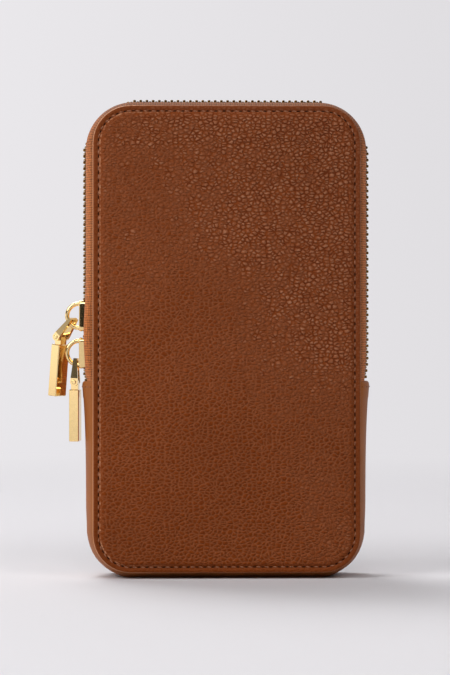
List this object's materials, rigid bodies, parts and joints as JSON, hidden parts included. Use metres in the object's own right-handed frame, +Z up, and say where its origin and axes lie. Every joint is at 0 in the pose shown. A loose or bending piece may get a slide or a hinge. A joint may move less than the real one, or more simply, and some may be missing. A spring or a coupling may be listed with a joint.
{
  "type": "phone pouch",
  "caption": "Upright zip-round phone pouch in brown pebbled leather with a smooth lower gusset, a metal zip, paired sliders and gold bar pulls.",
  "frame": {"origin": "on the floor under the middle of the pouch", "axes": "+Z up along the pouch's height, +Y from the front panel to the back panel, the two sliders on the -X side"},
  "size_m": [0.1246, 0.03, 0.1843],
  "materials": {
    "pebbled_leather": "satin",
    "smooth_leather": "satin",
    "zip_tape": "matte",
    "zip_teeth_metal": "satin",
    "gold_hardware": "polished",
    "lining_fabric": "matte",
    "stiffening_board": "matte",
    "foam_padding": "matte"
  },
  "bodies": {
    "pouch": {"front_panel_lower": "pebbled_leather", "back_panel": "pebbled_leather", "front_padding_lower": "foam_padding", "back_padding": "foam_padding", "front_board_lower": "stiffening_board", "back_board": "stiffening_board", "front_lining_lower": "lining_fabric", "back_lining": "lining_fabric", "lower_gusset": "smooth_leather", "gusset_lining": "lining_fabric", "rear_zip_tape": "zip_tape", "rear_zip_teeth": "zip_teeth_metal"},
    "front_flap": {"front_panel_upper": "pebbled_leather", "front_padding_upper": "foam_padding", "front_board_upper": "stiffening_board", "front_lining_upper": "lining_fabric", "front_zip_tape": "zip_tape", "front_zip_teeth": "zip_teeth_metal"},
    "upper_slider": {"upper_slider": "gold_hardware"},
    "upper_stirrup": {"upper_pull_stirrup": "gold_hardware", "upper_pull_pin": "gold_hardware"},
    "upper_bar": {"upper_pull_bar": "gold_hardware"},
    "lower_slider": {"lower_slider": "gold_hardware"},
    "lower_stirrup": {"lower_pull_stirrup": "gold_hardware", "lower_pull_pin": "gold_hardware"},
    "lower_bar": {"lower_pull_bar": "gold_hardware"}
  },
  "joints": [
    {"name": "front_fold", "type": "hinge", "parent": "pouch", "child": "front_flap", "pos_m": [0, -0.015, 0.075], "axis": [1, 0, 0], "range_deg": [0, 35], "stiffness_Nm_per_rad": 0.05, "deforming": ["front_zip_teeth"]},
    {"name": "upper_slider_slide", "type": "slide", "parent": "pouch", "child": "upper_slider", "axis": [0, 0, 1], "range_m": [0, 0.046], "deforming": ["rear_zip_teeth"]},
    {"name": "lower_slider_slide", "type": "slide", "parent": "pouch", "child": "lower_slider", "axis": [0, 0, 1], "range_m": [-0.004, 0.002]},
    {"name": "upper_pull_swing", "type": "hinge", "parent": "upper_slider", "child": "upper_stirrup", "pos_m": [-0.05675, 0, 0.1008], "axis": [0, 1, 0], "range_deg": [0, 100]},
    {"name": "upper_bar_pivot", "type": "hinge", "parent": "upper_stirrup", "child": "upper_bar", "pos_m": [-0.06394, 0.00246, 0.09266], "axis": [0.5592, 0.829, 0], "range_deg": [0, 80]},
    {"name": "lower_pull_sway", "type": "hinge", "parent": "lower_slider", "child": "lower_stirrup", "pos_m": [-0.05812, 0, 0.08191], "axis": [1, 0, 0], "range_deg": [-25, 25]},
    {"name": "lower_bar_pivot", "type": "hinge", "parent": "lower_stirrup", "child": "lower_bar", "pos_m": [-0.05836, 0.00003, 0.07521], "axis": [0.1219, 0.9925, 0], "range_deg": [-2, 10]}
  ]
}
